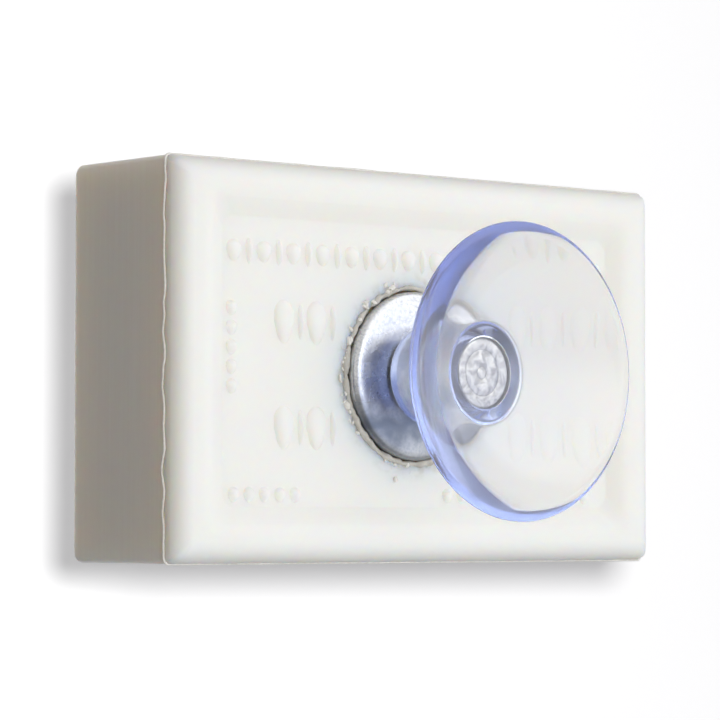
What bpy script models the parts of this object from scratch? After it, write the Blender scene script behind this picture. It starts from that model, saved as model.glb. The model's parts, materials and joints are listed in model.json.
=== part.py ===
# Wall holder for a bar of soap: a clear suction cup with a magnet in its hub, and a
# toothed steel cap pressed into the bar. The magnet holds the cap, and the bar with it.
# Lengths are in metres. The wall is the plane y = 0, the holder's axis runs along +Y
# away from the wall, and +Z is up.
from math import asin, cos, pi, sin, sqrt, tau

import bpy
import bmesh
from mathutils import Matrix

for leftover in list(bpy.data.objects):
    bpy.data.objects.remove(leftover, do_unlink=True)

# Clearances
SEAT_GAP = 0.0003           # between two pieces that touch
CUT_OVERRUN = 0.002         # how far a cutter passes the surface it opens
MERGE_DISTANCE = 0.00001

# Suction cup, one moulding in soft clear PVC
LIP_RADIUS = 0.0209
LIP_WIDTH = 0.00105         # flat ring that seals against the wall
LIP_THICKNESS = 0.00035     # at its outer edge
BOWL_DEPTH = 0.0061
BACK_CURVE = 0.0265         # radius of the rounded back, tighter than the bowl's own
HUB_RADIUS = 0.00715
HUB_ROOT_ROUND = 0.0012
HUB_END_ROUND = 0.0015
POCKET_FLOOR = 0.0038       # PVC between the bowl and the magnet
POCKET_CHAMFER = 0.0004

# Magnet, nickel plated, in the hub's pocket
MAGNET_RADIUS = 0.0053
MAGNET_LENGTH = 0.0109
MAGNET_CHAMFER = 0.0004
MAGNET_PROUD = 0.0004       # how far its face stands out of the hub

# Steel cap, pressed from sheet, with teeth that bite into the bar
CAP_RADIUS = 0.0122
CAP_SHEET = 0.0006
CAP_EDGE_ROUND = 0.0013
CAP_DEPTH = 0.0080
CAP_TEETH = 18
TOOTH_DEPTH = 0.0022
TOOTH_TIP = 0.0005          # flat left on the point of each tooth
CAP_STAND_OUT = 0.00165     # how far its face stands out of the bar's field

# Soap bar
BAR_LENGTH = 0.0915
BAR_HEIGHT = 0.0560
BAR_DEPTH = 0.0253
BAR_FRONT_ROUND = 0.0030
BAR_BACK_ROUND = 0.0025
BAR_CORNER_ROUND = 0.0008
BAR_SHIFT_X = 0.0019        # the cap sits a little off the bar's middle
BAR_SHIFT_Z = 0.0013
FIELD_DEPTH = 0.00145       # the sunk field inside the bar's raised border
FIELD_LENGTH = 0.0738
FIELD_HEIGHT = 0.0404
FIELD_SLOPE_WIDTH = 0.0031  # slope from the border down to the field
FIELD_CORNER_ROUND = 0.0012

# Facets
CUP_STEPS = 64
CAP_STEPS = 72
MAGNET_STEPS = 48
BOWL_POINTS = 10
BACK_POINTS = 8
ROUND_POINTS = 4
BAR_ROUND_SEGMENTS = 5

# Places along the axis, from the wall outwards
pocket_floor_y = BOWL_DEPTH + POCKET_FLOOR
magnet_back_y = pocket_floor_y + SEAT_GAP
magnet_face_y = magnet_back_y + MAGNET_LENGTH
hub_end_y = magnet_face_y - MAGNET_PROUD
cap_face_y = magnet_face_y + SEAT_GAP
field_y = cap_face_y + CAP_STAND_OUT
bar_front_y = field_y - FIELD_DEPTH
bar_middle_y = bar_front_y + BAR_DEPTH / 2
pocket_radius = MAGNET_RADIUS + SEAT_GAP

parts = bpy.data.collections.new("suction_soap_holder")
cutters = bpy.data.collections.new("cutters")
bpy.context.scene.collection.children.link(parts)
bpy.context.scene.collection.children.link(cutters)


def make_material(name, colour, roughness, metallic=0.0, transmission=0.0):
    material = bpy.data.materials.new(name)
    material.use_nodes = True
    shader = material.node_tree.nodes["Principled BSDF"]
    shader.inputs["Base Color"].default_value = (*colour, 1.0)
    shader.inputs["Roughness"].default_value = roughness
    shader.inputs["Metallic"].default_value = metallic
    shader.inputs["Transmission Weight"].default_value = transmission
    return material


def add_object(name, mesh, collection, material=None):
    piece = bpy.data.objects.new(name, mesh)
    collection.objects.link(piece)
    if material:
        mesh.materials.append(material)
    if collection is cutters:
        piece.hide_render = True
        piece.display_type = "WIRE"
    return piece


def lay_on_axis(piece, start_y):
    """Turns a piece made along its own Z so that it lies along the holder's axis."""
    piece.rotation_euler = (-pi / 2, 0, 0)
    piece.location = (0, start_y, 0)


def arc(centre_radius, centre_height, radius, start, end, steps=ROUND_POINTS):
    """Points of a round in a turned profile, from angle start to angle end."""
    points = []
    for step in range(steps + 1):
        angle = start + (end - start) * step / steps
        points.append((centre_radius + radius * cos(angle), centre_height + radius * sin(angle)))
    return points


def turn(name, profile, steps, collection, material=None, closed=False):
    """Turns a profile of (radius, height) points about Z, outer side from top to bottom."""
    mesh = bpy.data.meshes.new(name)
    edges = [(i, i + 1) for i in range(len(profile) - 1)]
    if closed:
        edges.append((len(profile) - 1, 0))
    mesh.from_pydata([(radius, 0, height) for radius, height in profile], edges, [])
    piece = add_object(name, mesh, collection, material)
    screw = piece.modifiers.new("turn", "SCREW")
    screw.steps = steps
    screw.render_steps = steps
    screw.use_merge_vertices = True
    screw.merge_threshold = MERGE_DISTANCE
    screw.use_smooth_shade = True
    return piece


def cut(piece, cutter):
    boolean = piece.modifiers.new("cut_" + cutter.name, "BOOLEAN")
    boolean.operation = "DIFFERENCE"
    boolean.solver = "EXACT"
    boolean.object = cutter


def make_suction_cup():
    """Bowl and back are both parts of spheres. The wall thickens from the lip to the hub."""
    back_centre = LIP_THICKNESS - sqrt(BACK_CURVE ** 2 - LIP_RADIUS ** 2)
    root_radius = HUB_RADIUS + HUB_ROOT_ROUND
    root_reach = BACK_CURVE + HUB_ROOT_ROUND
    root_angle = asin(root_radius / root_reach)
    root_height = back_centre + root_reach * cos(root_angle)
    profile = [(0, pocket_floor_y), (pocket_radius, pocket_floor_y)]
    profile.append((pocket_radius, hub_end_y - POCKET_CHAMFER))
    profile.append((pocket_radius + POCKET_CHAMFER, hub_end_y))
    end_centre = HUB_RADIUS - HUB_END_ROUND
    profile += arc(end_centre, hub_end_y - HUB_END_ROUND, HUB_END_ROUND, pi / 2, 0)
    profile += arc(root_radius, root_height, HUB_ROOT_ROUND, pi, 3 * pi / 2 - root_angle)
    lip_angle = asin(LIP_RADIUS / BACK_CURVE)
    profile += arc(0, back_centre, BACK_CURVE, pi / 2 - root_angle, pi / 2 - lip_angle,
                   BACK_POINTS)[1:]
    profile.append((LIP_RADIUS, 0))
    bowl_radius = LIP_RADIUS - LIP_WIDTH
    bowl_curve = (bowl_radius ** 2 + BOWL_DEPTH ** 2) / (2 * BOWL_DEPTH)
    bowl_angle = asin(bowl_radius / bowl_curve)
    profile += arc(0, BOWL_DEPTH - bowl_curve, bowl_curve, pi / 2 - bowl_angle, pi / 2,
                   BOWL_POINTS)
    pvc = make_material("clear_pvc", (0.72, 0.78, 0.95), 0.08, transmission=0.9)
    cup = turn("suction_cup", profile, CUP_STEPS, parts, pvc)
    lay_on_axis(cup, 0)


def make_magnet():
    top = MAGNET_LENGTH
    inner = MAGNET_RADIUS - MAGNET_CHAMFER
    profile = [(0, top), (inner, top), (MAGNET_RADIUS, top - MAGNET_CHAMFER)]
    profile += [(MAGNET_RADIUS, MAGNET_CHAMFER), (inner, 0), (0, 0)]
    nickel = make_material("nickel_plate", (0.72, 0.70, 0.66), 0.18, metallic=1.0)
    magnet = turn("magnet", profile, MAGNET_STEPS, parts, nickel)
    lay_on_axis(magnet, magnet_back_y)


def make_tooth_gaps():
    """One V shaped notch between each pair of teeth, round the end of the skirt."""
    pitch = tau * CAP_RADIUS / CAP_TEETH
    width = pitch - TOOTH_TIP
    wall_middle = CAP_RADIUS - CAP_SHEET / 2
    length = CAP_SHEET + 2 * CUT_OVERRUN
    size = Matrix.Diagonal((length, width / sqrt(2), 2 * TOOTH_DEPTH / sqrt(2), 1))
    on_edge = Matrix.Rotation(pi / 4, 4, "X")
    outward = Matrix.Translation((wall_middle, 0, CAP_DEPTH))
    notches = bmesh.new()
    for tooth in range(CAP_TEETH):
        around = Matrix.Rotation(tau * tooth / CAP_TEETH, 4, "Z")
        bmesh.ops.create_cube(notches, size=1, matrix=around @ outward @ size @ on_edge)
    mesh = bpy.data.meshes.new("tooth_gaps")
    notches.to_mesh(mesh)
    notches.free()
    return add_object("tooth_gaps", mesh, cutters)


def make_steel_cap():
    inner_radius = CAP_RADIUS - CAP_SHEET
    inner_round = CAP_EDGE_ROUND - CAP_SHEET
    edge_centre = CAP_RADIUS - CAP_EDGE_ROUND
    profile = [(0, CAP_SHEET)]
    profile += arc(edge_centre, CAP_EDGE_ROUND, inner_round, 3 * pi / 2, tau)
    profile += [(inner_radius, CAP_DEPTH), (CAP_RADIUS, CAP_DEPTH)]
    profile += arc(edge_centre, CAP_EDGE_ROUND, CAP_EDGE_ROUND, tau, 3 * pi / 2)
    profile.append((0, 0))
    steel = make_material("polished_steel", (0.78, 0.78, 0.80), 0.12, metallic=1.0)
    cap = turn("steel_cap", profile, CAP_STEPS, parts, steel)
    tooth_gaps = make_tooth_gaps()
    cut(cap, tooth_gaps)
    lay_on_axis(cap, cap_face_y)
    lay_on_axis(tooth_gaps, cap_face_y)


def box_mesh(name, length, depth, height):
    box = bmesh.new()
    bmesh.ops.create_cube(box, size=1, matrix=Matrix.Diagonal((length, depth, height, 1)))
    mesh = bpy.data.meshes.new(name)
    box.to_mesh(mesh)
    box.free()
    return mesh


def make_field_cutter(name, side):
    """The sunk field of one face: side is -1 for the face at the wall, 1 for the back."""
    reach = FIELD_DEPTH + CUT_OVERRUN
    spread = FIELD_SLOPE_WIDTH * reach / FIELD_DEPTH
    mesh = box_mesh(name, FIELD_LENGTH, reach, FIELD_HEIGHT)
    for vertex in mesh.vertices:
        if vertex.co.y * side > 0:
            vertex.co.x += spread if vertex.co.x > 0 else -spread
            vertex.co.z += spread if vertex.co.z > 0 else -spread
    cutter = add_object(name, mesh, cutters)
    face_y = bar_middle_y + side * BAR_DEPTH / 2
    cutter.location = (BAR_SHIFT_X, face_y + side * (reach / 2 - FIELD_DEPTH), BAR_SHIFT_Z)
    # The four slanting edges run from the floor's corners outwards, and only they are rounded.
    shaping = bmesh.new()
    shaping.from_mesh(mesh)
    slanted = [edge for edge in shaping.edges if edge.verts[0].co.y * edge.verts[1].co.y < 0]
    bmesh.ops.bevel(shaping, geom=slanted, offset=FIELD_CORNER_ROUND, segments=ROUND_POINTS,
                    profile=0.5, affect="EDGES")
    shaping.to_mesh(mesh)
    shaping.free()
    return cutter


def make_soap_bar():
    mesh = box_mesh("soap_bar", BAR_LENGTH, BAR_DEPTH, BAR_HEIGHT)
    shaping = bmesh.new()
    shaping.from_mesh(mesh)
    weights = shaping.edges.layers.float.new("bevel_weight_edge")
    for edge in shaping.edges:
        sides = [vertex.co.y for vertex in edge.verts]
        if max(sides) < 0:
            edge[weights] = 1.0
        elif min(sides) > 0:
            edge[weights] = BAR_BACK_ROUND / BAR_FRONT_ROUND
        else:
            edge[weights] = BAR_CORNER_ROUND / BAR_FRONT_ROUND
    shaping.to_mesh(mesh)
    shaping.free()
    soap = make_material("white_soap", (0.86, 0.86, 0.82), 0.42)
    bar = add_object("soap_bar", mesh, parts, soap)
    bar.location = (BAR_SHIFT_X, bar_middle_y, BAR_SHIFT_Z)
    rounding = bar.modifiers.new("rounding", "BEVEL")
    rounding.limit_method = "WEIGHT"
    rounding.width = BAR_FRONT_ROUND
    rounding.segments = BAR_ROUND_SEGMENTS
    cut(bar, make_field_cutter("front_field", -1))
    cut(bar, make_field_cutter("back_field", 1))
    # The ring that the cap's skirt has cut, with clearance on both sides and at its end
    inner_radius = CAP_RADIUS - CAP_SHEET - SEAT_GAP
    outer_radius = CAP_RADIUS + SEAT_GAP
    mouth = field_y - CUT_OVERRUN
    bottom = cap_face_y + CAP_DEPTH + SEAT_GAP
    section = [(inner_radius, bottom), (outer_radius, bottom)]
    section += [(outer_radius, mouth), (inner_radius, mouth)]
    groove = turn("skirt_groove", section, CAP_STEPS, cutters, closed=True)
    lay_on_axis(groove, 0)
    cut(bar, groove)


make_suction_cup()
make_magnet()
make_steel_cap()
make_soap_bar()
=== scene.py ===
import json
import math
import random

import bmesh
import bpy
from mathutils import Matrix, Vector

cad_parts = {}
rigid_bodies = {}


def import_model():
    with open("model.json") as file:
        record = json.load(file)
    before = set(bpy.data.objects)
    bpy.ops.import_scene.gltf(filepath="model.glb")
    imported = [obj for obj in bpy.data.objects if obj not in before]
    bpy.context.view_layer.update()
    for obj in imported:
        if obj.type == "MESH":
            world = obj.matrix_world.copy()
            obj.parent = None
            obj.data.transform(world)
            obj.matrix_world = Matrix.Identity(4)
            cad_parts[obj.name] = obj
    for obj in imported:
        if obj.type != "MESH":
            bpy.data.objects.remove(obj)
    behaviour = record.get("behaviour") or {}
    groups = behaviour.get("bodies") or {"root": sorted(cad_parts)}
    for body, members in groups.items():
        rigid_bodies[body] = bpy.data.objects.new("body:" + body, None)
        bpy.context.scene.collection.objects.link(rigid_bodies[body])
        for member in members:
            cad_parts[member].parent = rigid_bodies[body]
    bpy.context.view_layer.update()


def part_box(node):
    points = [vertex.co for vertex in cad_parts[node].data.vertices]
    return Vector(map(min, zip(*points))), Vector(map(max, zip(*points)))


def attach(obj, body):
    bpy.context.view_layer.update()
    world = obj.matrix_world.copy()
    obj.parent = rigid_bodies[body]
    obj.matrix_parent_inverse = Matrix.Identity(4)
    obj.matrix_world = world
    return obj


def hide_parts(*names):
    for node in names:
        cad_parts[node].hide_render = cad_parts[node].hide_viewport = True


# Soap holder for a smooth wall: a clear suction cup with a magnet in its hub, and a toothed
# steel cap in a pressed bar of soap. The wall is the plane y = 0, and the axis runs along +Y.
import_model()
mm = 0.001
slack = 0.01 * mm  # a place is taken as met within this


# small helpers

def toLinear(hexColour):
    parts = [int(hexColour[i:i + 2], 16) / 255 for i in (1, 3, 5)]
    return tuple(p / 12.92 if p <= 0.04045 else ((p + 0.055) / 1.055) ** 2.4 for p in parts) + (1.0,)


def addNode(tree, kind, settings=None, links=None):
    # settings and links are by socket name or number; a node in links stands for its first output
    node = tree.nodes.new(kind)
    for name, value in (settings or {}).items():
        if name == "stops":  # of a colour ramp: place and colour
            for i, (place, colour) in enumerate(value):
                stop = node.color_ramp.elements[i] if i < 2 else node.color_ramp.elements.new(place)
                stop.position = place
                stop.color = colour
        elif isinstance(name, int) or name in node.inputs:
            node.inputs[name].default_value = value
        else:
            setattr(node, name, value)
    for socket, source in (links or {}).items():
        isNode = isinstance(source, bpy.types.Node)
        tree.links.new(source.outputs[0] if isNode else source, node.inputs[socket])
    return node


def newMaterial(name):
    material = bpy.data.materials.new(name)
    material.use_nodes = True
    material.node_tree.nodes.clear()
    return material, material.node_tree


def nothingPicked():
    if bpy.context.mode != "OBJECT":
        bpy.ops.object.mode_set(mode="OBJECT")
    bpy.ops.object.select_all(action="DESELECT")


def named(name):
    piece = bpy.context.object
    piece.name = name
    piece.data.name = name
    bpy.ops.object.transform_apply(location=True, rotation=True, scale=True)
    return piece


def editing(piece):
    nothingPicked()
    bpy.context.view_layer.objects.active = piece
    piece.select_set(True)
    bpy.ops.object.mode_set(mode="EDIT")


def middle(part):
    # of an edge or a face
    if isinstance(part, bmesh.types.BMEdge):
        return (part.verts[0].co + part.verts[1].co) / 2
    return part.calc_center_median()


def pick(piece, kind, test):
    bpy.ops.mesh.select_mode(type=kind)
    bpy.ops.mesh.select_all(action="DESELECT")
    shape = bmesh.from_edit_mesh(piece.data)
    parts = {"VERT": shape.verts, "EDGE": shape.edges, "FACE": shape.faces}[kind]
    for part in parts:
        if test(part):
            part.select_set(True)
    bmesh.update_edit_mesh(piece.data)


def modified(piece, kind, **settings):
    nothingPicked()
    bpy.context.view_layer.objects.active = piece
    piece.select_set(True)
    modifier = piece.modifiers.new(kind.lower(), kind)
    for name, value in settings.items():
        setattr(modifier, name, value)
    bpy.ops.object.modifier_apply(modifier=modifier.name)


def joined(pieces, name):
    nothingPicked()
    for piece in pieces:
        piece.select_set(True)
    bpy.context.view_layer.objects.active = pieces[0]
    bpy.ops.object.join()
    pieces[0].name = name
    return pieces[0]


def arc(radius, centreRadius, centreY, start, end, steps):
    # places on a round of a turned section; angles are in degrees from the radial direction
    places = []
    for i in range(steps + 1):
        angle = math.radians(start + (end - start) * i / steps)
        places.append((centreRadius + radius * math.cos(angle), centreY + radius * math.sin(angle)))
    return places


def turned(name, section, around, closed=False):
    # A ring of points is drawn out along the axis and resized, from one place of the section to the
    # next. A section that isn't closed starts and ends near the axis, and is shut there.
    nothingPicked()
    radius, y = section[0]
    bpy.ops.mesh.primitive_circle_add(vertices=around, radius=radius, location=(0, y, 0),
                                      rotation=(math.pi / 2, math.pi / 2, 0),
                                      fill_type="NOTHING" if closed else "TRIFAN")
    piece = named(name)
    editing(piece)
    pick(piece, "EDGE", lambda e: all(abs(v.co.xz.length - radius) < slack for v in e.verts))
    following = section[1:] + (section[:1] if closed else [])
    for (lastRadius, lastY), (radius, y) in zip(section, following):
        bpy.ops.mesh.extrude_region_move(TRANSFORM_OT_translate={"value": (0, y - lastY, 0)})
        wider = radius / lastRadius
        bpy.ops.transform.resize(value=(wider, 1, wider), center_override=(0, y, 0))
    if not closed:
        bpy.ops.mesh.merge(type="CENTER")
    bpy.ops.mesh.select_all(action="SELECT")
    bpy.ops.mesh.remove_doubles(threshold=slack / 10)
    bpy.ops.mesh.normals_make_consistent(inside=False)
    nothingPicked()
    return piece


def smooth(piece, angle):
    nothingPicked()
    piece.select_set(True)
    bpy.context.view_layer.objects.active = piece
    bpy.ops.object.shade_smooth_by_angle(angle=math.radians(angle))


# camera, sheet behind the object, and lights

camera = {"place": (-333.03 * mm, -355.00 * mm, -20.71 * mm), "turn": (92.6216, -0.0544, -40.5137),
          "lens": 175, "sensor": 36, "nearest": 10 * mm}
# Light is guided a long way inside the clear cup, so it is followed for more bounces than usual.
bounces = {"max_bounces": 32, "glossy_bounces": 24, "transmission_bounces": 24}

bpy.ops.object.camera_add(location=camera["place"], rotation=[math.radians(a) for a in camera["turn"]])
cameraObject = bpy.context.object
cameraObject.data.lens = camera["lens"]
cameraObject.data.sensor_width = camera["sensor"]
cameraObject.data.clip_start = camera["nearest"]
bpy.context.scene.camera = cameraObject
bpy.context.scene.view_settings.view_transform = "Standard"
for name, most in bounces.items():
    setattr(bpy.context.scene.cycles, name, most)

sheet = {"behind": 85 * mm, "size": 260 * mm, "middle": (80 * mm, 0),
         "colour": "#EBEBEB", "glow": ("#FAFBFF", 0.35)}
lights = {  # places and sizes in metres, powers in watts
    "key": {"place": (0.292, -0.573, 0.090), "size": (1.3, 2.6), "power": 10.6, "colour": "#F8FAFF"},
    "fill": {"place": (-0.300, -0.620, -0.080), "size": (0.5, 2.0), "power": 3.3, "colour": "#FFFAF3"},
    "back": {"place": (0.080, 0.950, 0.300), "size": (0.5, 0.5), "power": 5.0, "colour": "#FFFCF7"},
    "shadow": {"place": (-0.3184, -0.3684, -0.0078), "size": (0.028, 0.028), "power": 8.8},
    "target": (0, 20 * mm, 0),  # the lamps point here
    # the studio round the object: colour and strength below and above, between two heights of direction
    "ambient": {"below": ("#EDF0F5", 0.135), "above": ("#FFF3E9", 0.195), "low": -1, "high": 1},
    "throughCup": {"below": ("#B6C8FF", 1.02), "above": ("#F4F9FF", 2.30), "low": -0.35, "high": 0.35},
    # what gloss sees of it far left, and low down
    "darkSide": {"colour": "#656A7C", "towards": (-0.966, 0.259, 0.0), "from": 0.76, "full": 0.97},
    "lowDown": {"strength": 0.55, "full": -0.25, "from": 0.05},
}

world = bpy.data.worlds.new("studioWorld")
bpy.context.scene.world = world
world.use_nodes = True
world.node_tree.nodes.clear()
tree = world.node_tree
path = addNode(tree, "ShaderNodeLightPath")
direction = addNode(tree, "ShaderNodeTexCoord").outputs["Generated"]
height = addNode(tree, "ShaderNodeSeparateXYZ", {}, {0: direction}).outputs["Z"]


def lightFrom(below, above, low, high):
    # light that goes with height from the colour and strength below to those above
    shares = [addNode(tree, "ShaderNodeMapRange",
                      {"interpolation_type": "SMOOTHSTEP", "From Min": low, "From Max": high,
                       "To Min": first, "To Max": last}, {"Value": height})
              for first, last in ((0, 1), (below[1], above[1]))]
    colour = addNode(tree, "ShaderNodeMix",
                     {"data_type": "RGBA", 6: toLinear(below[0]), 7: toLinear(above[0])}, {0: shares[0]})
    return addNode(tree, "ShaderNodeBackground", {}, {"Color": colour.outputs[2], "Strength": shares[1]})


# Gloss mirrors a white studio that is dark far left, and a little darker low down.
darkSide, lowDown = lights["darkSide"], lights["lowDown"]
leftward = addNode(tree, "ShaderNodeVectorMath", {"operation": "DOT_PRODUCT", 1: darkSide["towards"]},
                   {0: direction})
farLeft = addNode(tree, "ShaderNodeMapRange",
                  {"interpolation_type": "SMOOTHSTEP", "From Min": darkSide["from"],
                   "From Max": darkSide["full"]}, {"Value": leftward.outputs["Value"]})
studio = addNode(tree, "ShaderNodeMix",
                 {"data_type": "RGBA", 6: (1, 1, 1, 1), 7: toLinear(darkSide["colour"])}, {0: farLeft})
strength = addNode(tree, "ShaderNodeMapRange",
                   {"interpolation_type": "SMOOTHSTEP", "From Min": lowDown["full"],
                    "From Max": lowDown["from"], "To Min": lowDown["strength"]}, {"Value": height})
mirrored = addNode(tree, "ShaderNodeBackground", {}, {"Color": studio.outputs[2], "Strength": strength})
# Straight through the clear plastic the studio is plain white. Light that is guided round inside it,
# and so has gone through more than two surfaces, comes more from above than from below.
white = addNode(tree, "ShaderNodeBackground", {"Color": (1, 1, 1, 1)})
guided = addNode(tree, "ShaderNodeMath", {"operation": "GREATER_THAN", 1: 2.5},
                 {0: path.outputs["Ray Depth"]})
through = addNode(tree, "ShaderNodeMixShader", {},
                  {0: guided, 1: white, 2: lightFrom(**lights["throughCup"])})
gathered = addNode(tree, "ShaderNodeMixShader", {},
                   {0: path.outputs["Is Transmission Ray"], 1: mirrored, 2: through})
# What soap and haze scatter is lit by soft light from all round, and the camera sees plain white.
shiny = addNode(tree, "ShaderNodeMath", {"operation": "MAXIMUM"},
                {0: path.outputs["Is Glossy Ray"], 1: path.outputs["Is Transmission Ray"]})
unscattered = addNode(tree, "ShaderNodeMath", {"operation": "LESS_THAN", 1: 0.5},
                      {0: path.outputs["Diffuse Depth"]})
shiny = addNode(tree, "ShaderNodeMath", {"operation": "MULTIPLY"}, {0: shiny, 1: unscattered})
allRound = addNode(tree, "ShaderNodeMixShader", {},
                   {0: shiny, 1: lightFrom(**lights["ambient"]), 2: gathered})
seen = addNode(tree, "ShaderNodeMixShader", {}, {0: path.outputs["Is Camera Ray"], 1: allRound, 2: white})
addNode(tree, "ShaderNodeOutputWorld", {}, {"Surface": seen})


def makeSheet():
    # The photographed object floats before a white sheet that holds its soft shadow. The bar doesn't
    # reach the sheet when both slides are out, and the sheet shows from its front only, so that it
    # doesn't hide the object in views from behind.
    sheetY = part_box("soap_bar")[1][1] + sheet["behind"]
    nothingPicked()
    bpy.ops.mesh.primitive_plane_add(size=sheet["size"], rotation=(math.pi / 2, 0, 0),
                                     location=(sheet["middle"][0], sheetY, sheet["middle"][1]))
    floor = named("paleSheet")
    material, tree = newMaterial("palePaper")
    path = addNode(tree, "ShaderNodeLightPath")
    geometry = addNode(tree, "ShaderNodeNewGeometry")
    seen = addNode(tree, "ShaderNodeMath", {"operation": "MAXIMUM"},
                   {0: path.outputs["Is Camera Ray"], 1: path.outputs["Is Glossy Ray"]})
    seen = addNode(tree, "ShaderNodeMath", {"operation": "MAXIMUM"},
                   {0: seen, 1: path.outputs["Is Transmission Ray"]})
    front = addNode(tree, "ShaderNodeMath", {"operation": "SUBTRACT", 0: 1.0},
                    {1: geometry.outputs["Backfacing"]})
    shown = addNode(tree, "ShaderNodeMath", {"operation": "MULTIPLY"}, {0: seen, 1: front})
    paper = addNode(tree, "ShaderNodeBsdfDiffuse", {"Color": toLinear(sheet["colour"])})
    glow = addNode(tree, "ShaderNodeEmission",
                   {"Color": toLinear(sheet["glow"][0]), "Strength": sheet["glow"][1]})
    lit = addNode(tree, "ShaderNodeAddShader", {}, {0: paper, 1: glow})
    clear = addNode(tree, "ShaderNodeBsdfTransparent")
    mixed = addNode(tree, "ShaderNodeMixShader", {}, {0: shown, 1: clear, 2: lit})
    addNode(tree, "ShaderNodeOutputMaterial", {}, {"Surface": mixed})
    floor.data.materials.append(material)
    return floor


def addLamp(name, place, size, power, colour="#FFFFFF"):
    nothingPicked()
    aim = Vector(lights["target"]) - Vector(place)
    bpy.ops.object.light_add(type="AREA", location=place, rotation=aim.to_track_quat("-Z", "Y").to_euler())
    lamp = bpy.context.object
    lamp.name = name
    lamp.data.shape = "RECTANGLE"
    lamp.data.size, lamp.data.size_y = size
    lamp.data.energy = power
    lamp.data.color = toLinear(colour)[:3]
    return lamp


floor = makeSheet()
keyLamp = addLamp("keyLamp", **lights["key"])
fillLamp = addLamp("fillLamp", **lights["fill"])
backLamp = addLamp("backLamp", **lights["back"])
for lamp in (keyLamp, fillLamp, backLamp):  # gloss mirrors the key lamp alone
    lamp.visible_transmission = False
    lamp.visible_glossy = lamp == keyLamp
shadowLamp = addLamp("shadowLamp", **lights["shadow"])
shadowLamp.data.shape = "DISK"
shadowLamp.data.use_nodes = True
evenly = addNode(shadowLamp.data.node_tree, "ShaderNodeLightFalloff", {"Strength": 1.0})
glowing = shadowLamp.data.node_tree.nodes["Emission"]
shadowLamp.data.node_tree.links.new(evenly.outputs["Constant"], glowing.inputs["Strength"])
# The shadow lamp lights the sheet alone, and the others all but the sheet.
sheetOnly = bpy.data.collections.new("sheetOnly")
sheetOnly.objects.link(floor)
shadowLamp.light_linking.receiver_collection = sheetOnly
noSheet = bpy.data.collections.new("noSheet")
noSheet.objects.link(floor)
noSheet.collection_objects[0].light_linking.link_state = "EXCLUDE"
for lamp in (keyLamp, fillLamp, backLamp):
    lamp.light_linking.receiver_collection = noSheet
print("camera, sheet and lights are in place")


# materials

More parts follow.
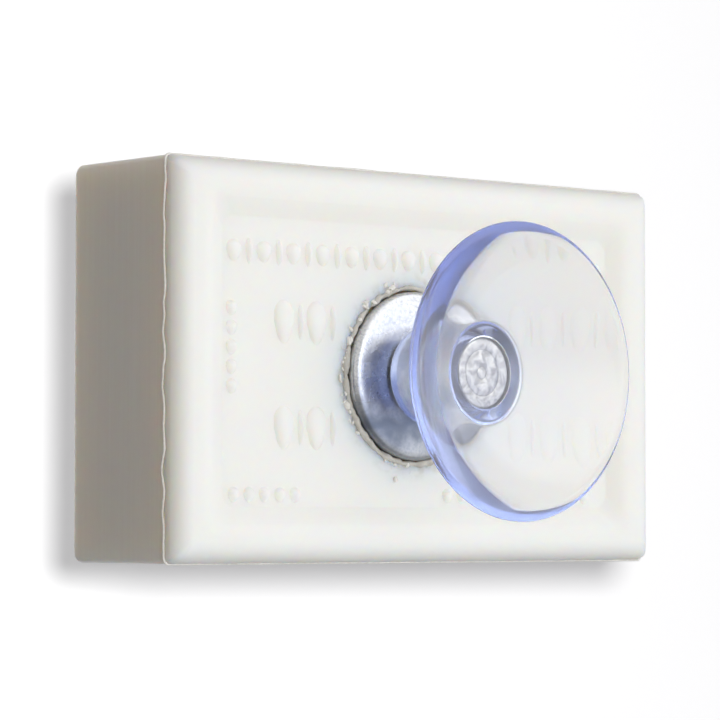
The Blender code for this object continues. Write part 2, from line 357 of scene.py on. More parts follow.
def milledSoap():
    # Pressed soap: waxy and a little translucent, so light runs a few millimetres into it and its
    # edges glow warm. The die leaves it nearly even, and it is bruised and greasy round the cap.
    material, tree = newMaterial("milledSoap")
    onPiece = addNode(tree, "ShaderNodeTexCoord").outputs["Object"]
    clouds = addNode(tree, "ShaderNodeTexNoise", {"Scale": 55.0, "Detail": 3.0}, {"Vector": onPiece})
    tint = addNode(tree, "ShaderNodeMix",
                   {"data_type": "RGBA", 6: toLinear("#EFF0EB"), 7: toLinear("#F4F4F0")}, {0: clouds})
    split = addNode(tree, "ShaderNodeSeparateXYZ", {}, {0: onPiece})
    flat = addNode(tree, "ShaderNodeCombineXYZ", {}, {0: split.outputs["X"], 1: split.outputs["Z"]})
    reach = addNode(tree, "ShaderNodeVectorMath", {"operation": "LENGTH"}, {0: flat})
    nearCap = addNode(tree, "ShaderNodeMapRange",
                      {"interpolation_type": "SMOOTHSTEP", "From Min": 12.4 * mm, "From Max": 15.5 * mm,
                       "To Min": 1.0, "To Max": 0.0}, {"Value": reach.outputs["Value"]})
    onFront = addNode(tree, "ShaderNodeMath", {"operation": "LESS_THAN", 1: 26 * mm},
                      {0: split.outputs["Y"]})
    nearCap = addNode(tree, "ShaderNodeMath", {"operation": "MULTIPLY"}, {0: nearCap, 1: onFront})
    flakes = addNode(tree, "ShaderNodeTexNoise", {"Scale": 480.0, "Detail": 4.0}, {"Vector": onPiece})
    patch = addNode(tree, "ShaderNodeMapRange", {"From Min": 0.48, "From Max": 0.62}, {"Value": flakes})
    bruise = addNode(tree, "ShaderNodeMath", {"operation": "MULTIPLY"}, {0: nearCap, 1: patch})
    colour = addNode(tree, "ShaderNodeMix", {"data_type": "RGBA", 7: toLinear("#D6D3C8")},
                     {0: bruise, 6: tint.outputs[2]})
    # Its end is scuffed up and down, and a few specks of grit are pressed into it.
    drawn = addNode(tree, "ShaderNodeVectorMath", {"operation": "MULTIPLY", 1: (1.0, 1.0, 0.02)},
                    {0: onPiece})
    scuffs = addNode(tree, "ShaderNodeTexNoise", {"Scale": 2200.0, "Detail": 3.0}, {"Vector": drawn})
    onEnd = addNode(tree, "ShaderNodeMath", {"operation": "LESS_THAN", 1: -43.6 * mm},
                    {0: split.outputs["X"]})
    scuffed = addNode(tree, "ShaderNodeMath", {"operation": "MULTIPLY"}, {0: scuffs, 1: onEnd})
    scuffed = addNode(tree, "ShaderNodeMath", {"operation": "MULTIPLY", 1: 0.35}, {0: scuffed})
    colour = addNode(tree, "ShaderNodeMix", {"data_type": "RGBA", 7: toLinear("#DEDAD0")},
                     {0: scuffed, 6: colour.outputs[2]})
    cells = addNode(tree, "ShaderNodeTexVoronoi", {"Scale": 48.0}, {"Vector": onPiece})
    grit = addNode(tree, "ShaderNodeMapRange",
                   {"From Min": 0.004, "From Max": 0.010, "To Min": 0.75, "To Max": 0.0},
                   {"Value": cells.outputs["Distance"]})
    colour = addNode(tree, "ShaderNodeMix", {"data_type": "RGBA", 7: toLinear("#8C8577")},
                     {0: grit, 6: colour.outputs[2]})
    grain = addNode(tree, "ShaderNodeTexNoise", {"Scale": 1400.0, "Detail": 2.0}, {"Vector": onPiece})
    swell = addNode(tree, "ShaderNodeTexNoise", {"Scale": 130.0, "Detail": 2.0}, {"Vector": onPiece})
    fine = addNode(tree, "ShaderNodeBump", {"Strength": 0.15, "Distance": 0.05 * mm}, {"Height": grain})
    wide = addNode(tree, "ShaderNodeBump", {"Strength": 0.3, "Distance": 0.4 * mm},
                   {"Height": swell, "Normal": fine})
    rough = addNode(tree, "ShaderNodeBump", {"Distance": 0.3 * mm},
                    {"Strength": nearCap, "Height": flakes, "Normal": wide})
    gloss = addNode(tree, "ShaderNodeMapRange", {"To Min": 0.42, "To Max": 0.54}, {"Value": clouds})
    greasy = addNode(tree, "ShaderNodeMath", {"operation": "MULTIPLY_ADD", 1: -0.2},
                     {0: bruise, 2: gloss})
    shader = addNode(tree, "ShaderNodeBsdfPrincipled",
                     {"IOR": 1.46, "Subsurface Weight": 1.0, "Subsurface Radius": (1.0, 0.72, 0.48),
                      "Subsurface Scale": 6.5 * mm},
                     {"Base Color": colour.outputs[2], "Roughness": greasy, "Normal": rough})
    addNode(tree, "ShaderNodeOutputMaterial", {}, {"Surface": shader})
    return material


def smearedSoap():
    # Wet soap squeezed up by the cap: glassier and greyer than the bar.
    material, tree = newMaterial("smearedSoap")
    onPiece = addNode(tree, "ShaderNodeTexCoord").outputs["Object"]
    spots = addNode(tree, "ShaderNodeTexNoise", {"Scale": 900.0, "Detail": 3.0}, {"Vector": onPiece})
    tint = addNode(tree, "ShaderNodeMix",
                   {"data_type": "RGBA", 6: toLinear("#9F9D95"), 7: toLinear("#DCDAD3")}, {0: spots})
    bump = addNode(tree, "ShaderNodeBump", {"Strength": 0.7, "Distance": 0.15 * mm}, {"Height": spots})
    shader = addNode(tree, "ShaderNodeBsdfPrincipled",
                     {"IOR": 1.46, "Roughness": 0.28, "Subsurface Weight": 0.6,
                      "Subsurface Radius": (1.0, 0.75, 0.5), "Subsurface Scale": 0.8 * mm},
                     {"Base Color": tint.outputs[2], "Normal": bump})
    addNode(tree, "ShaderNodeOutputMaterial", {}, {"Surface": shader})
    return material


def soapCrumb():
    # Dry flakes of soap: whiter and duller than the smear, and too small to show any depth.
    material, tree = newMaterial("soapCrumb")
    onPiece = addNode(tree, "ShaderNodeTexCoord").outputs["Object"]
    spots = addNode(tree, "ShaderNodeTexNoise", {"Scale": 1800.0, "Detail": 2.0}, {"Vector": onPiece})
    tint = addNode(tree, "ShaderNodeMix",
                   {"data_type": "RGBA", 6: toLinear("#D8D5CC"), 7: toLinear("#FBFBF8")}, {0: spots})
    bump = addNode(tree, "ShaderNodeBump", {"Strength": 0.5, "Distance": 0.1 * mm}, {"Height": spots})
    shader = addNode(tree, "ShaderNodeBsdfPrincipled", {"IOR": 1.46, "Roughness": 0.35},
                     {"Base Color": tint.outputs[2], "Normal": bump})
    addNode(tree, "ShaderNodeOutputMaterial", {}, {"Surface": shader})
    return material


def polishedSteel():
    # Stainless sheet, drawn and then buffed: it mirrors softly, with fine turned marks round its axis
    # and small bright and dull flecks from handling.
    material, tree = newMaterial("polishedSteel")
    onPiece = addNode(tree, "ShaderNodeTexCoord").outputs["Object"]
    split = addNode(tree, "ShaderNodeSeparateXYZ", {}, {0: onPiece})
    flat = addNode(tree, "ShaderNodeCombineXYZ", {}, {0: split.outputs["X"], 1: split.outputs["Z"]})
    reach = addNode(tree, "ShaderNodeVectorMath", {"operation": "LENGTH"}, {0: flat})
    marks = addNode(tree, "ShaderNodeTexNoise", {"noise_dimensions": "1D", "Scale": 6000.0, "Detail": 2.0},
                    {"W": reach.outputs["Value"]})
    flecks = addNode(tree, "ShaderNodeTexNoise", {"Scale": 2400.0, "Detail": 2.0}, {"Vector": onPiece})
    cloudy = addNode(tree, "ShaderNodeTexNoise", {"Scale": 330.0, "Detail": 3.0}, {"Vector": onPiece})
    bump = addNode(tree, "ShaderNodeBump", {"Strength": 0.06, "Distance": 0.02 * mm}, {"Height": marks})
    bump = addNode(tree, "ShaderNodeBump", {"Strength": 0.18, "Distance": 0.03 * mm},
                   {"Height": flecks, "Normal": bump})
    gloss = addNode(tree, "ShaderNodeMapRange",
                    {"From Min": 0.3, "From Max": 0.7, "To Min": 0.20, "To Max": 0.34}, {"Value": cloudy})
    greys = ((0.34, toLinear("#B0B2B6")), (0.46, toLinear("#BDBEBF")), (0.72, toLinear("#CACAC9")))
    tone = addNode(tree, "ShaderNodeValToRGB", {"stops": greys}, {"Fac": flecks})
    # Painted dark reflection: below a wobbling edge the face is coloured dark blue-grey, half as much lowest
    # down, and is a little rougher there.
    paintedReflectionEdge = addNode(tree, "ShaderNodeMath", {"operation": "MULTIPLY_ADD", 1: 5 * mm, 2: -2.5 * mm},
                     {0: cloudy})
    height = addNode(tree, "ShaderNodeMath", {"operation": "ADD"}, {0: split.outputs["Z"], 1: paintedReflectionEdge})
    paintedDarkReflection = addNode(tree, "ShaderNodeMapRange",
                   {"interpolation_type": "SMOOTHSTEP", "From Min": -7.0 * mm, "From Max": -2.5 * mm,
                    "To Min": 1.0, "To Max": 0.0}, {"Value": height})
    paintedReflectionFade = addNode(tree, "ShaderNodeMapRange",
                     {"interpolation_type": "SMOOTHSTEP", "From Min": -11.5 * mm, "From Max": -7.5 * mm,
                      "To Min": 0.5, "To Max": 1.0}, {"Value": height})
    paintedDarkReflection = addNode(tree, "ShaderNodeMath", {"operation": "MULTIPLY"}, {0: paintedDarkReflection, 1: paintedReflectionFade})
    # the painted dark reflection's colour
    tone = addNode(tree, "ShaderNodeMix", {"data_type": "RGBA", 7: toLinear("#656B76")},
                   {0: paintedDarkReflection, 6: tone})
    dull = addNode(tree, "ShaderNodeMath", {"operation": "MULTIPLY_ADD", 1: 0.12},
                   {0: paintedDarkReflection, 2: gloss})
    shader = addNode(tree, "ShaderNodeBsdfPrincipled", {"Metallic": 1.0},
                     {"Base Color": tone.outputs[2], "Roughness": dull, "Normal": bump})
    addNode(tree, "ShaderNodeOutputMaterial", {}, {"Surface": shader})
    return material


def nickelPlate():
    # Nickel over a sintered magnet: bright, with a rough ground face that breaks up what it mirrors,
    # and grey clouds where moisture has crept behind the plastic.
    material, tree = newMaterial("nickelPlate")
    onPiece = addNode(tree, "ShaderNodeTexCoord").outputs["Object"]
    waves = addNode(tree, "ShaderNodeTexNoise", {"Scale": 420.0, "Detail": 4.0, "Distortion": 1.2},
                    {"Vector": onPiece})
    blots = addNode(tree, "ShaderNodeTexNoise", {"Scale": 700.0, "Detail": 3.0, "Distortion": 0.8},
                    {"Vector": onPiece})
    greys = ((0.38, toLinear("#8C8984")), (0.5, toLinear("#AEABA3")), (0.62, toLinear("#C3BFB4")))
    tone = addNode(tree, "ShaderNodeValToRGB", {"stops": greys}, {"Fac": blots})
    bump = addNode(tree, "ShaderNodeBump", {"Strength": 0.6, "Distance": 0.25 * mm}, {"Height": waves})
    shader = addNode(tree, "ShaderNodeBsdfPrincipled", {"Metallic": 1.0, "Roughness": 0.36},
                     {"Base Color": tone, "Normal": bump})
    addNode(tree, "ShaderNodeOutputMaterial", {}, {"Surface": shader})
    return material


def wettedPlate():
    # The magnet's plating where the blue plastic clings to it: it looks smoother there. Its greys are painted
    # lighter and bluer than the nickel's for the light it gets through the plastic, and its upper side has
    # painted shade.
    material, tree = newMaterial("wettedPlate")
    onPiece = addNode(tree, "ShaderNodeTexCoord").outputs["Object"]
    clouds = addNode(tree, "ShaderNodeTexNoise", {"Scale": 240.0, "Detail": 2.0}, {"Vector": onPiece})
    # painted light: greys lighter and bluer than the nickel's
    paintedBlueTones = ((0.38, toLinear("#B4BCD2")), (0.52, toLinear("#CED4E3")), (0.64, toLinear("#E6E9F1")))
    tone = addNode(tree, "ShaderNodeValToRGB", {"stops": paintedBlueTones}, {"Fac": clouds})
    split = addNode(tree, "ShaderNodeSeparateXYZ", {}, {0: onPiece})
    # painted shade: the upper side darkens towards navy
    paintedShadeAbove = addNode(tree, "ShaderNodeMapRange",
                    {"interpolation_type": "SMOOTHSTEP", "From Min": -1.5 * mm, "From Max": 5 * mm,
                     "To Max": 0.75}, {"Value": split.outputs["Z"]})
    tone = addNode(tree, "ShaderNodeMix", {"data_type": "RGBA", 7: toLinear("#717A97")},
                   {0: paintedShadeAbove, 6: tone})
    shader = addNode(tree, "ShaderNodeBsdfPrincipled", {"Metallic": 1.0, "Roughness": 0.18},
                     {"Base Color": tone.outputs[2]})
    addNode(tree, "ShaderNodeOutputMaterial", {}, {"Surface": shader})
    return material


def clearPvc():
    # Soft clear PVC from a polished mould, toned blue: thin wall looks clear, and light that has run
    # a long way through it comes out blue. Plasticiser has bloomed to its surface as a faint haze.
    material, tree = newMaterial("clearPvc")
    onPiece = addNode(tree, "ShaderNodeTexCoord").outputs["Object"]
    swell = addNode(tree, "ShaderNodeTexNoise", {"Scale": 160.0, "Detail": 2.0}, {"Vector": onPiece})
    bump = addNode(tree, "ShaderNodeBump", {"Strength": 0.12, "Distance": 0.1 * mm}, {"Height": swell})
    shader = addNode(tree, "ShaderNodeBsdfPrincipled",
                     {"Base Color": toLinear("#FFFDF9"), "IOR": 1.53, "Roughness": 0.05,
                      "Transmission Weight": 0.92}, {"Normal": bump})
    path = addNode(tree, "ShaderNodeLightPath")
    clear = addNode(tree, "ShaderNodeBsdfTransparent", {"Color": toLinear("#F0F2FA")})
    surface = addNode(tree, "ShaderNodeMixShader", {},
                      {0: path.outputs["Is Shadow Ray"], 1: shader, 2: clear})
    depth = addNode(tree, "ShaderNodeVolumeAbsorption", {"Color": (0.14, 0.34, 0.85, 1), "Density": 33.0})
    addNode(tree, "ShaderNodeOutputMaterial", {}, {"Surface": surface, "Volume": depth})
    return material


soapMaterial = milledSoap()
smearMaterial = smearedSoap()
crumbMaterial = soapCrumb()
steelMaterial = polishedSteel()
nickelMaterial = nickelPlate()
paintedPlateMaterial = wettedPlate()
pvcMaterial = clearPvc()
print("materials are made")


# suction cup

cup = {"lip": 20.9 * mm, "lipWidth": 1.05 * mm, "lipThickness": 0.08 * mm, "bowlDepth": 6.1 * mm,
       "backCurve": 26.5 * mm, "hub": 7.15 * mm, "rootRound": 1.2 * mm, "endRound": 1.5 * mm,
       "hubEnd": 20.7 * mm, "pocket": 5.6 * mm, "pocketFloor": 9.9 * mm, "pocketChamfer": 0.4 * mm,
       "floorChamfer": 0.2 * mm, "around": 192, "bowlSteps": 30, "backSteps": 36, "roundSteps": 8}


def makeCup():
    bowlRim = cup["lip"] - cup["lipWidth"]
    bowlCurve = (bowlRim ** 2 + cup["bowlDepth"] ** 2) / (2 * cup["bowlDepth"])
    bowlAngle = math.degrees(math.asin(bowlRim / bowlCurve))
    backCentre = cup["lipThickness"] - math.sqrt(cup["backCurve"] ** 2 - cup["lip"] ** 2)
    lipAngle = math.degrees(math.asin(cup["lip"] / cup["backCurve"]))
    rootRadius = cup["hub"] + cup["rootRound"]
    rootReach = cup["backCurve"] + cup["rootRound"]
    rootAngle = math.degrees(math.asin(rootRadius / rootReach))
    rootY = backCentre + rootReach * math.cos(math.radians(rootAngle))
    steps = cup["roundSteps"]
    # the bowl's face from just off the axis to the lip, the back's face, and the round at the hub's root
    section = arc(bowlCurve, 0, cup["bowlDepth"] - bowlCurve, 89.2, 90 - bowlAngle, cup["bowlSteps"])
    section += [(cup["lip"], 0)]
    section += arc(cup["backCurve"], 0, backCentre, 90 - lipAngle, 90 - rootAngle, cup["backSteps"])
    section += arc(cup["rootRound"], rootRadius, rootY, 270 - rootAngle, 180, steps)[1:]
    # the hub's end, and the pocket
    section += arc(cup["endRound"], cup["hub"] - cup["endRound"], cup["hubEnd"] - cup["endRound"], 0, 90, steps)
    section += [(cup["pocket"] + cup["pocketChamfer"] * 0.5, cup["hubEnd"]),
                (cup["pocket"], cup["hubEnd"] - cup["pocketChamfer"]),
                (cup["pocket"], cup["pocketFloor"] + cup["floorChamfer"]),
                (cup["pocket"] - cup["floorChamfer"], cup["pocketFloor"]), (0.3 * mm, cup["pocketFloor"])]
    piece = turned("suctionCup", section, cup["around"])
    smooth(piece, 40)
    piece.data.materials.append(pvcMaterial)
    piece.data.materials.append(paintedPlateMaterial)
    # The soft pocket clings to the magnet's side, so the plating shows straight through the plastic. Its faces
    # take the plating's copy with painted light and painted shade.
    editing(piece)
    pick(piece, "FACE", lambda f: abs(middle(f).xz.length - cup["pocket"]) < slack and abs(f.normal.y) < 0.1)
    piece.active_material_index = 1
    bpy.ops.object.material_slot_assign()
    piece.active_material_index = 0
    nothingPicked()
    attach(piece, "wall_cup")
    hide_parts("suction_cup")
    return piece


suctionCup = makeCup()
# The cup's shadow is left out of the two front lights, as the photograph shows none behind it.
noCup = bpy.data.collections.new("noCup")
noCup.objects.link(suctionCup)
noCup.collection_objects[0].light_linking.link_state = "EXCLUDE"
for lamp in (keyLamp, fillLamp):
    lamp.light_linking.blocker_collection = noCup
print("suction cup is made")


# magnet

magnet = {"radius": 5.3 * mm, "near": 10.2 * mm, "far": 21.1 * mm, "chamfer": 0.4 * mm,
          "rings": (0.95 * mm, 3.5 * mm), "ringWidth": 0.5 * mm, "ringDepth": 0.15 * mm, "around": 128}


def makeMagnet():
    near, far, chamfer = magnet["near"], magnet["far"], magnet["chamfer"]
    half = magnet["ringWidth"] / 2
    section = [(0.3 * mm, near)]
    for ring in magnet["rings"]:  # fine grooves in the near face
        section += [(ring - half, near), (ring, near + magnet["ringDepth"]), (ring + half, near)]
    section += arc(chamfer, magnet["radius"] - chamfer, near + chamfer, 270, 360, 4)
    section += arc(chamfer, magnet["radius"] - chamfer, far - chamfer, 0, 90, 4)
    section += [(0.4 * mm, far)]
    piece = turned("magnetDisc", section, magnet["around"])
    smooth(piece, 40)
    piece.data.materials.append(nickelMaterial)
    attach(piece, "magnet")
    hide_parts("magnet")


makeMagnet()
print("magnet is made")


# steel cap

cap = {"radius": 12.2 * mm, "face": 21.4 * mm, "end": 29.4 * mm, "sheet": 0.6 * mm, "edgeRound": 1.3 * mm,
       "crownStart": 8.6 * mm, "crownTilt": 6, "teeth": 18, "toothDepth": 2.2 * mm, "stepsPerTooth": 9}


def makeCap():
    radius, face, end, wall, edge = cap["radius"], cap["face"], cap["end"], cap["sheet"], cap["edgeRound"]
    root = end - cap["toothDepth"] - 0.3 * mm
    # The press leaves the outer part of the face bent back by a few degrees.
    flat, tilt = cap["crownStart"], cap["crownTilt"]
    bend = (radius - edge - flat) / math.sin(math.radians(tilt)) + edge
    section = [(0.5 * mm, face), (4 * mm, face)] + arc(bend, flat, face + bend, 270, 270 + tilt, 5)
    edgeY = section[-1][1] + edge * math.cos(math.radians(tilt))
    section += arc(edge, radius - edge, edgeY, 270 + tilt, 360, 10)[1:]
    section += [(radius, root), (radius, end), (radius - wall, end), (radius - wall, root)]
    section += arc(edge - wall, radius - edge, face + edge, 360, 270, 6) + [(0.5 * mm, face + wall)]
    piece = turned("steelCap", section, cap["teeth"] * cap["stepsPerTooth"])
    editing(piece)
    tooth = 360 / cap["teeth"]
    for level in range(1, 5):  # the skirt's end is pushed back in a V between each pair of teeth
        off = (4 - level) * tooth / cap["stepsPerTooth"]

        def inLevel(v):
            if abs(v.co.y - end) > slack:
                return False
            angle = math.degrees(math.atan2(v.co.z, v.co.x)) % tooth
            return abs(min(angle, tooth - angle) - off) < 0.3

        pick(piece, "VERT", inLevel)
        bpy.ops.transform.translate(value=(0, -cap["toothDepth"] * level / 4, 0))
    nothingPicked()
    smooth(piece, 40)
    piece.data.materials.append(steelMaterial)
    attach(piece, "cap")
    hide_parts("steel_cap")


makeCap()
print("steel cap is made")


# soap bar

bar = {"length": 91.5 * mm, "depth": 25.3 * mm, "height": 56.0 * mm,
       "middle": (1.9 * mm, 34.25 * mm, 1.3 * mm), "frontRound": 3.0 * mm, "backRound": 2.5 * mm,
       "cornerRound": 0.8 * mm, "roundSteps": 12,
       "fieldLength": 73.8 * mm, "fieldHeight": 40.4 * mm, "fieldDepth": 1.45 * mm, "slope": 3.1 * mm,
       "fieldCorner": 1.6 * mm, "softEdge": 1.1 * mm, "crispEdge": 0.2 * mm,
       "lineWobble": 1.2 * mm, "lineNoise": 4 * mm, "lineThickness": 0.44 * mm,
       "grooveIn": 11.3 * mm, "grooveOut": 12.5 * mm, "grooveEnd": 29.7 * mm}
barFront = bar["middle"][1] - bar["depth"] / 2
barBack = bar["middle"][1] + bar["depth"] / 2
fieldY = barFront + bar["fieldDepth"]


def sinkField(piece, faceY, inward):
    # A block with slanting sides sinks the field, and then its two edges are softened.
    middleX, middleY, middleZ = bar["middle"]
    reach = bar["fieldDepth"] + 2 * mm
    spread = 2 * bar["slope"] * reach / bar["fieldDepth"]
    floorY = faceY + inward * bar["fieldDepth"]
    mouthY = floorY - inward * reach
    nothingPicked()
    bpy.ops.mesh.primitive_cube_add(size=1, location=(middleX, (floorY + mouthY) / 2, middleZ),
                                    scale=(bar["fieldLength"], reach, bar["fieldHeight"]))
    block = named("fieldCutter")
    editing(block)
    pick(block, "VERT", lambda v: abs(v.co.y - mouthY) < slack)
    bpy.ops.transform.resize(value=(1 + spread / bar["fieldLength"], 1, 1 + spread / bar["fieldHeight"]),
                             center_override=(middleX, mouthY, middleZ))
    pick(block, "EDGE", lambda e: abs(e.verts[0].co.y - e.verts[1].co.y) > mm)
    bpy.ops.mesh.bevel(offset=bar["fieldCorner"], segments=8, affect="EDGES")
    modified(piece, "BOOLEAN", operation="DIFFERENCE", solver="EXACT", object=block)
    bpy.data.objects.remove(block)
    editing(piece)

    def onLoop(e, y, length, height):
        return all(abs(v.co.y - y) < slack and abs(v.co.x - middleX) < length / 2 + 0.05 * mm
                   and abs(v.co.z - middleZ) < height / 2 + 0.05 * mm for v in e.verts)

    pick(piece, "EDGE", lambda e: onLoop(e, faceY, bar["fieldLength"] + 2 * bar["slope"],
                                         bar["fieldHeight"] + 2 * bar["slope"]))
    bpy.ops.mesh.bevel(offset=bar["softEdge"], segments=8, affect="EDGES")
    pick(piece, "EDGE", lambda e: onLoop(e, floorY, bar["fieldLength"], bar["fieldHeight"]))
    bpy.ops.mesh.bevel(offset=bar["crispEdge"], segments=3, affect="EDGES")
    nothingPicked()


def makeMouldLine(piece):
    # The die's two halves leave a thin flash round the bar, at the edge of its front rounding.
    editing(piece)
    lineY = barFront + bar["frontRound"]
    pick(piece, "EDGE", lambda e: all(abs(v.co.y - lineY) < slack for v in e.verts))
    bpy.ops.mesh.duplicate()
    bpy.ops.mesh.separate(type="SELECTED")
    nothingPicked()
    line = [o for o in bpy.data.objects if o.name.startswith(piece.name + ".")][0]
    line.name = "mouldLine"
    editing(line)
    for shortest, cuts in ((60 * mm, 130), (20 * mm, 80)):  # the long and then the short straight sides
        pick(line, "EDGE", lambda e: e.calc_length() > shortest)
        bpy.ops.mesh.subdivide(number_cuts=cuts)
    wobble = bpy.data.textures.new("wobble", "CLOUDS")
    wobble.noise_scale = bar["lineNoise"]
    modified(line, "DISPLACE", texture=wobble, direction="Y", texture_coords="LOCAL",
             strength=bar["lineWobble"], mid_level=0.5)
    bpy.ops.object.convert(target="CURVE")
    line.data.bevel_depth = bar["lineThickness"] / 2
    line.data.bevel_resolution = 2
    bpy.ops.object.convert(target="MESH")
    line.data.materials.clear()
    line.data.materials.append(crumbMaterial)
    smooth(line, 60)
    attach(line, "bar")


def makeBar():
    nothingPicked()
    bpy.ops.mesh.primitive_cube_add(size=1, location=bar["middle"],
                                    scale=(bar["length"], bar["depth"], bar["height"]))
    piece = named("soapBar")
    editing(piece)
    # Each round is a share of the widest one, at the front.
    for size, test in (("frontRound", lambda e: middle(e).y < barFront + mm),
                       ("backRound", lambda e: middle(e).y > barBack - mm),
                       ("cornerRound", lambda e: abs(middle(e).y - bar["middle"][1]) < mm)):
        pick(piece, "EDGE", test)
        bpy.ops.transform.edge_bevelweight(value=bar[size] / bar["frontRound"])
    nothingPicked()
    modified(piece, "BEVEL", limit_method="WEIGHT", width=bar["frontRound"], segments=bar["roundSteps"])
    makeMouldLine(piece)
    sinkField(piece, barFront, 1)
    sinkField(piece, barBack, -1)
    mouth = barFront - 2 * mm
    groove = turned("grooveCutter",
                    [(bar["grooveIn"], bar["grooveEnd"]), (bar["grooveOut"], bar["grooveEnd"]),
                     (bar["grooveOut"], mouth), (bar["grooveIn"], mouth)], 144, closed=True)
    modified(piece, "BOOLEAN", operation="DIFFERENCE", solver="EXACT", object=groove)
    bpy.data.objects.remove(groove)
    return piece


relief = {"stands": 0.8 * mm, "sunk": 0.3 * mm, "slant": 0.22, "worn": 0.45,
          "bead": (3.1 * mm, 3.1 * mm), "reel": (1.3 * mm, 3.7 * mm), "egg": (4.3 * mm, 6.4 * mm),
          "dart": (1.1 * mm, 5.2 * mm), "pearl": (2.2 * mm, 2.2 * mm)}


def raisedShape(kind):
    # A dome that stands on the field, and is a little narrower towards its lower end.
    wide, high = relief[kind]
    thick = relief["stands"] + relief["sunk"]
    nothingPicked()
    bpy.ops.mesh.primitive_uv_sphere_add(segments=24, ring_count=12, radius=0.5,
                                         location=(0, relief["sunk"], 0), scale=(wide, 2 * thick, high))
    shape = named(kind)
    editing(shape)
    narrower = 1 - relief["slant"] * high / (high + wide)
    for share in (0.9, 0.6, 0.3):  # each lower part, measured down from the top, is drawn in once more
        pick(shape, "VERT", lambda v: v.co.z < (0.5 - share) * high)
        bpy.ops.transform.resize(value=(narrower, 1, 1), center_override=(0, 0, 0))
    nothingPicked()
    return shape


def reliefPlaces():
    # each shape's kind, and its place on the field in mm
    places = []
    for k in range(14):  # beads and reels along the top
        places += [("bead", -33.0 + 5.35 * k, 16.6)]
        places += [("reel", -30.33 + 5.35 * k, 16.6)] if k < 13 else []
    for k in range(5):  # beads upright on the left
        places += [("pearl", -33.4, 8.6 - 2.7 * k)]
    for start, count in ((-33.0, 5), (6.6, 11)):  # and along the bottom
        for k in range(count):
            places += [("pearl", start + 2.75 * k, -17.2)]
    for z in (7.0, -7.8):  # two rows of eggs and darts, broken off at the cap
        for k in range(11):
            x = -24.0 + 5.9 * k
            places += [("egg", x, z)] if math.hypot(x, z) > 17.5 and x < 40 else []
            places += [("dart", x + 2.95, z)] if math.hypot(x + 2.95, z) > 16.5 and k < 10 else []
    return places


def makeRelief():
    shapes = {kind: raisedShape(kind) for kind in ("bead", "reel", "egg", "dart", "pearl")}
    copies = []
    for kind, x, z in reliefPlaces():
        nothingPicked()
        shapes[kind].select_set(True)
        bpy.context.view_layer.objects.active = shapes[kind]
        bpy.ops.object.duplicate()
        copy = bpy.context.object
        copy.location = (x * mm, fieldY, z * mm)
        # the eggs and darts behind the cup are worn
        copy.scale = (1, relief["worn"] if x > 12 and kind in ("egg", "dart") else 1, 1)
        copies.append(copy)
    for shape in shapes.values():
        bpy.data.objects.remove(shape)
    rows = joined(copies, "relief")
    bpy.ops.object.transform_apply(location=True, rotation=True, scale=True)
    return rows


rim = {"radius": 12.64 * mm, "thickness": 0.42 * mm, "ragged": 0.9 * mm, "raggedNoise": 1.5 * mm,
       "drift": 0.7 * mm, "driftNoise": 6 * mm, "clear": 12.23 * mm, "turn": 60}
looseSoap = {"count": 70, "size": (0.12, 0.52), "reach": 0.75 * mm, "ragged": 0.9 * mm,
             "heaps": (104, 128, 149, 171, 206, 262), "heapSpread": 8, "seed": 11}  # angles in degrees


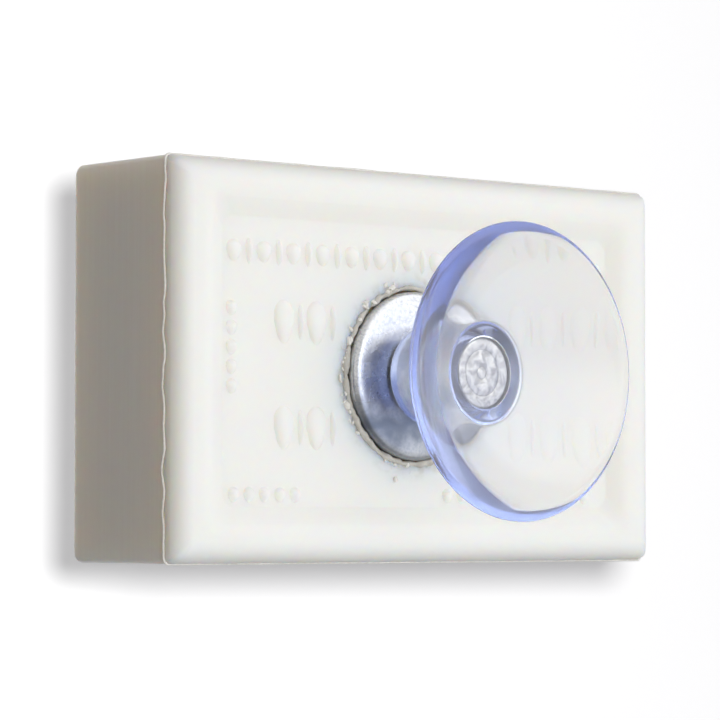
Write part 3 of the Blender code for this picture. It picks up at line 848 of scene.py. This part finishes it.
def makeRim(torn):
    # Soap squeezed up by the cap's skirt: a ragged lip round the cut, trimmed clear of the cap.
    nothingPicked()
    bpy.ops.mesh.primitive_torus_add(major_radius=rim["radius"], minor_radius=rim["thickness"],
                                     major_segments=420, minor_segments=16,
                                     location=(0, fieldY + 0.1 * mm, 0), rotation=(math.pi / 2, 0, 0))
    lip = named("soapLip")
    drift = bpy.data.textures.new("drift", "CLOUDS")
    drift.noise_scale = rim["driftNoise"]
    for texture, strength in ((drift, rim["drift"]), (torn, rim["ragged"])):
        modified(lip, "DISPLACE", texture=texture, texture_coords="LOCAL", strength=strength, mid_level=0.5)
    lip.rotation_euler.y = math.radians(rim["turn"])  # its widest gap comes to the left
    bpy.ops.object.transform_apply(rotation=True)
    low, high = fieldY - 4 * mm, fieldY + 4 * mm
    gauge = turned("gauge", [(0.5 * mm, low), (rim["clear"], low), (rim["clear"], high), (0.5 * mm, high)], 144)
    modified(lip, "BOOLEAN", operation="DIFFERENCE", solver="EXACT", object=gauge)
    bpy.data.objects.remove(gauge)
    smooth(lip, 60)
    lip.data.materials.append(smearMaterial)
    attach(lip, "bar")


def makeCrumbs(torn):
    # Crumbs of soap lie in a few heaps beside the lip.
    nothingPicked()
    bpy.ops.mesh.primitive_ico_sphere_add(subdivisions=2, radius=1 * mm)
    crumb = named("crumb")
    modified(crumb, "DISPLACE", texture=torn, texture_coords="LOCAL", strength=looseSoap["ragged"],
             mid_level=0.5)
    smallest, largest = looseSoap["size"]
    chance = random.Random(looseSoap["seed"])
    copies = []
    for i in range(looseSoap["count"]):
        nothingPicked()
        crumb.select_set(True)
        bpy.context.view_layer.objects.active = crumb
        bpy.ops.object.duplicate()
        copy = bpy.context.object
        around = math.radians(chance.choice(looseSoap["heaps"]) + chance.gauss(0, looseSoap["heapSpread"]))
        reach = rim["radius"] + abs(chance.gauss(0.0, looseSoap["reach"]))
        size = smallest + (largest - smallest) * chance.random() ** 2.5
        copy.location = (reach * math.cos(around), fieldY, reach * math.sin(around))
        copy.rotation_euler = [chance.uniform(0, 6.28) for axis in range(3)]
        copy.scale = (size * chance.uniform(0.5, 1.7), size * 0.7, size * chance.uniform(0.5, 1.7))
        copies.append(copy)
    bpy.data.objects.remove(crumb)
    crumbs = joined(copies, "soapCrumbs")
    bpy.ops.object.transform_apply(location=True, rotation=True, scale=True)
    crumbs.data.materials.append(crumbMaterial)
    smooth(crumbs, 60)
    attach(crumbs, "bar")


soapBar = makeBar()
print("bar is pressed")
raised = makeRelief()
modified(soapBar, "BOOLEAN", operation="UNION", solver="MANIFOLD", object=raised)
bpy.data.objects.remove(raised)
print("relief stands on it")
smooth(soapBar, 35)
modified(soapBar, "WEIGHTED_NORMAL", keep_sharp=True, weight=50)
soapBar.data.materials.clear()
soapBar.data.materials.append(soapMaterial)
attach(soapBar, "bar")
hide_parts("soap_bar")
torn = bpy.data.textures.new("torn", "CLOUDS")
torn.noise_scale = rim["raggedNoise"]
torn.noise_depth = 4
makeRim(torn)
makeCrumbs(torn)
print("soap bar is made")
